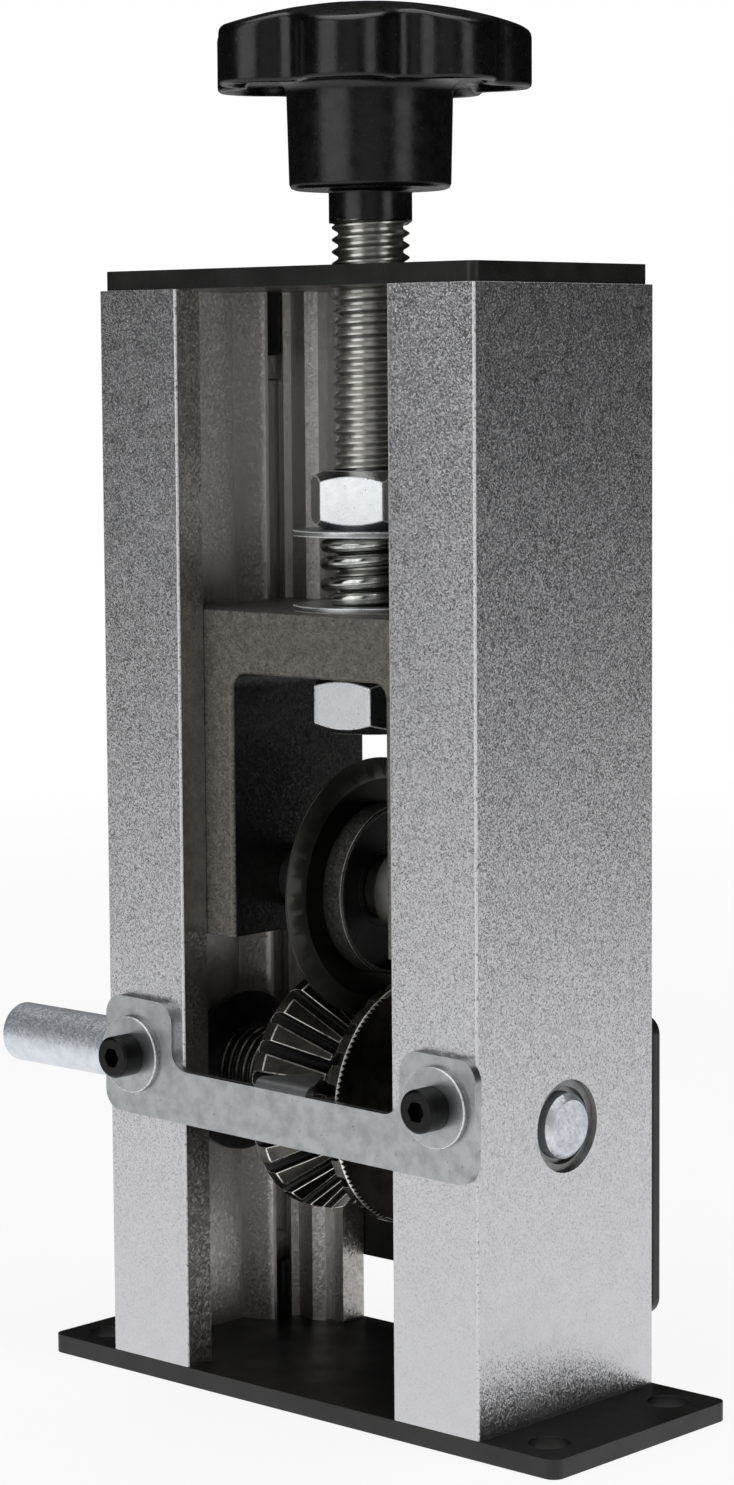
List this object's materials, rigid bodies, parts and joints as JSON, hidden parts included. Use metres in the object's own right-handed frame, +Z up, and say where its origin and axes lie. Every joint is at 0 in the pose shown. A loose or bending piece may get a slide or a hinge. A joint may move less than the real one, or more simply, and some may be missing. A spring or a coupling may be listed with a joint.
{
  "type": "wire stripping machine",
  "caption": "Bench wire stripper: a crank shaft turns a toothed V-groove roller while a star-knob screw presses a round cutting wheel down on the wire.",
  "frame": {"origin": "centre of the foot plate's underside, in the middle of the four bench holes", "axes": "+Z up, +X away from the crank side along the drive shaft, +Y the way the wire is fed, from the guide to the rear cover"},
  "size_m": [0.1449, 0.0548, 0.229],
  "materials": {
    "channel_aluminium": "sandblasted and anodised, fine glittery grain",
    "black_plate": "satin black coat",
    "zinc_steel": "zinc plated, bluish white",
    "shaft_steel": "turned steel",
    "tooth_steel": "dark hardened steel with ground edges",
    "blade_steel": "dark tool steel, ground bevels",
    "block_steel": "sandblasted warm grey steel",
    "bush_steel": "oiled sintered steel",
    "spring_steel": "zinc plated spring wire",
    "black_oxide": "black oxide",
    "knob_plastic": "moulded black plastic, satin"
  },
  "bodies": {
    "frame": {"base_plate": "black_plate", "top_plate": "black_plate", "left_channel": "channel_aluminium", "right_channel": "channel_aluminium", "top_plate_screws": "black_oxide", "base_plate_screws": "black_oxide", "left_bush": "bush_steel", "right_bush": "bush_steel", "front_guide_screws": "black_oxide", "front_guide_washers": "zinc_steel", "rear_cover": "black_plate", "rear_cover_screws": "black_oxide"},
    "drive_roller": {"drive_shaft": "shaft_steel", "shaft_clip": "black_oxide", "roller_key": "shaft_steel", "right_cone_wheel": "tooth_steel", "roller_spacer": "shaft_steel", "roller_spring": "spring_steel", "roller_washer": "zinc_steel"},
    "left_cone": {"left_cone_wheel": "tooth_steel"},
    "spring_seat": {"upper_washer": "zinc_steel", "press_spring": "spring_steel"},
    "hand_screw": {"press_screw": "zinc_steel", "star_knob": "knob_plastic", "upper_nut": "zinc_steel", "lower_nut": "zinc_steel"},
    "sliding_block": {"pressure_block": "block_steel", "lower_washer": "zinc_steel", "left_blade_spacer": "shaft_steel", "right_blade_spacer": "shaft_steel", "blade_axle": "shaft_steel", "axle_clip": "black_oxide"},
    "cutting_wheel": {"blade_wheel": "blade_steel", "blade_bush": "bush_steel"},
    "guide": {"front_guide": "zinc_steel"}
  },
  "joints": [
    {"name": "shaft_spin", "type": "hinge", "parent": "frame", "child": "drive_roller", "pos_m": [0, 0, 0.0498], "axis": [1, 0, 0], "continuous": true},
    {"name": "left_cone_slide", "type": "slide", "parent": "drive_roller", "child": "left_cone", "axis": [1, 0, 0], "range_m": [-0.003, 0], "stiffness_N_per_m": 3000, "springref_m": 0.004, "deforming": ["roller_spring"]},
    {"name": "screw_feed", "type": "slide", "parent": "frame", "child": "spring_seat", "axis": [0, 0, 1], "range_m": [-0.0001, 0.028]},
    {"name": "screw_turn", "type": "hinge", "parent": "spring_seat", "child": "hand_screw", "pos_m": [0, 0, 0.15], "axis": [0, 0, 1], "range_deg": [-19, 5160]},
    {"name": "block_give", "type": "slide", "parent": "spring_seat", "child": "sliding_block", "axis": [0, 0, 1], "range_m": [0, 0.0015], "stiffness_N_per_m": 20000, "springref_m": -0.002, "deforming": ["press_spring"]},
    {"name": "blade_spin", "type": "hinge", "parent": "sliding_block", "child": "cutting_wheel", "pos_m": [0, 0, 0.0846], "axis": [1, 0, 0], "continuous": true},
    {"name": "guide_adjust", "type": "slide", "parent": "frame", "child": "guide", "axis": [0, 0, 1], "range_m": [-0.0017, 0.0029]}
  ],
  "couplings": [
    {"joint": "screw_turn", "follows": "screw_feed", "rad_per_m": 3215.8}
  ]
}
